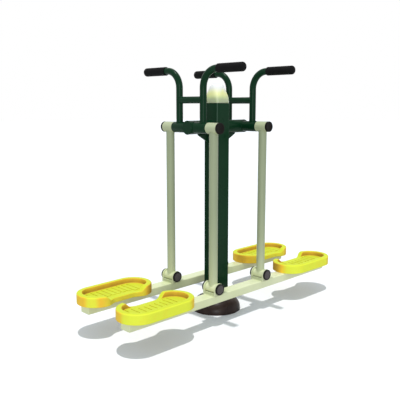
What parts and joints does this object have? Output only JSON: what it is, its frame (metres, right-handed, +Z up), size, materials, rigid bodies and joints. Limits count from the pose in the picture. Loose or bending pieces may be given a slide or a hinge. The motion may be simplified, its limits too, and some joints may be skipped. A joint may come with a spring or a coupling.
{
  "type": "outdoor air walker",
  "caption": "Outdoor air walker for two people: hanging arms swing two level foot beams with dished pedals under fixed handlebars on one square post.",
  "frame": {"origin": "on the ground under the middle of the post", "axes": "+X along the foot beams, +Y along the axles and handlebar grips, +Z up; left is -X, right is +X, front is -Y and rear is +Y"},
  "size_m": [1.68, 0.764, 1.413],
  "materials": {
    "green_paint": "dark green powder coat, semi-gloss",
    "cream_paint": "pale cream powder coat, semi-gloss",
    "zinc_steel": "bright zinc-plated steel",
    "bearing_steel": "ground bearing steel",
    "bush_bronze": "turned bearing bronze",
    "black_plastic": "moulded black nylon",
    "cap_plastic": "moulded cream plastic, smooth",
    "cover_plastic": "moulded dark brown plastic, satin",
    "grip_rubber": "moulded black rubber",
    "yellow_plastic": "moulded yellow plastic, satin"
  },
  "bodies": {
    "stand": {"base_plate": "green_paint", "anchor_bolt_front_left": "zinc_steel", "anchor_bolt_front_right": "zinc_steel", "anchor_bolt_rear_left": "zinc_steel", "anchor_bolt_rear_right": "zinc_steel", "base_cover": "cover_plastic", "post": "green_paint", "post_cap": "cap_plastic", "head_tube": "green_paint", "gusset_left": "green_paint", "gusset_right": "green_paint", "cross_tube_left": "green_paint", "cross_tube_right": "green_paint", "axle_left": "zinc_steel", "axle_right": "zinc_steel", "handlebar_left": "green_paint", "handlebar_right": "green_paint", "grip_left_front": "grip_rubber", "grip_left_rear": "grip_rubber", "grip_right_front": "grip_rubber", "grip_right_rear": "grip_rubber"},
    "left_front_arm": {"arm_left_front": "cream_paint", "axle_bearings_left_front": "bearing_steel", "pivot_bush_left_front": "bush_bronze", "top_cap_left_front": "black_plastic"},
    "right_front_arm": {"arm_right_front": "cream_paint", "axle_bearings_right_front": "bearing_steel", "pivot_bush_right_front": "bush_bronze", "top_cap_right_front": "black_plastic"},
    "front_foot_beam": {"foot_beam_front": "cream_paint", "bracket_left_front": "cream_paint", "pivot_pin_left_front": "zinc_steel", "pin_cap_left_front_plus": "black_plastic", "pin_cap_left_front_minus": "black_plastic", "pedal_left_front": "yellow_plastic", "bracket_right_front": "cream_paint", "pivot_pin_right_front": "zinc_steel", "pin_cap_right_front_plus": "black_plastic", "pin_cap_right_front_minus": "black_plastic", "pedal_right_front": "yellow_plastic"},
    "left_rear_arm": {"arm_left_rear": "cream_paint", "axle_bearings_left_rear": "bearing_steel", "pivot_bush_left_rear": "bush_bronze", "top_cap_left_rear": "black_plastic"},
    "right_rear_arm": {"arm_right_rear": "cream_paint", "axle_bearings_right_rear": "bearing_steel", "pivot_bush_right_rear": "bush_bronze", "top_cap_right_rear": "black_plastic"},
    "rear_foot_beam": {"foot_beam_rear": "cream_paint", "bracket_left_rear": "cream_paint", "pivot_pin_left_rear": "zinc_steel", "pin_cap_left_rear_plus": "black_plastic", "pin_cap_left_rear_minus": "black_plastic", "pedal_left_rear": "yellow_plastic", "bracket_right_rear": "cream_paint", "pivot_pin_right_rear": "zinc_steel", "pin_cap_right_rear_plus": "black_plastic", "pin_cap_right_rear_minus": "black_plastic", "pedal_right_rear": "yellow_plastic"}
  },
  "joints": [
    {"name": "front_walk_swing", "type": "hinge", "parent": "stand", "child": "left_front_arm", "pos_m": [-0.203, -0.1715, 1.079], "axis": [0, 1, 0], "range_deg": [-35, 35]},
    {"name": "front_right_arm_swing", "type": "hinge", "parent": "stand", "child": "right_front_arm", "pos_m": [0.203, -0.1715, 1.079], "axis": [0, 1, 0], "range_deg": [-35, 35]},
    {"name": "front_beam_level", "type": "hinge", "parent": "left_front_arm", "child": "front_foot_beam", "pos_m": [-0.203, -0.1715, 0.206], "axis": [0, 1, 0], "range_deg": [-35, 35]},
    {"name": "rear_walk_swing", "type": "hinge", "parent": "stand", "child": "left_rear_arm", "pos_m": [-0.203, 0.1715, 1.079], "axis": [0, 1, 0], "range_deg": [-35, 35]},
    {"name": "rear_right_arm_swing", "type": "hinge", "parent": "stand", "child": "right_rear_arm", "pos_m": [0.203, 0.1715, 1.079], "axis": [0, 1, 0], "range_deg": [-35, 35]},
    {"name": "rear_beam_level", "type": "hinge", "parent": "left_rear_arm", "child": "rear_foot_beam", "pos_m": [-0.203, 0.1715, 0.206], "axis": [0, 1, 0], "range_deg": [-35, 35]}
  ],
  "couplings": [
    {"joint": "front_right_arm_swing", "follows": "front_walk_swing", "ratio": 1},
    {"joint": "front_beam_level", "follows": "front_walk_swing", "ratio": -1},
    {"joint": "rear_right_arm_swing", "follows": "rear_walk_swing", "ratio": 1},
    {"joint": "rear_beam_level", "follows": "rear_walk_swing", "ratio": -1}
  ]
}
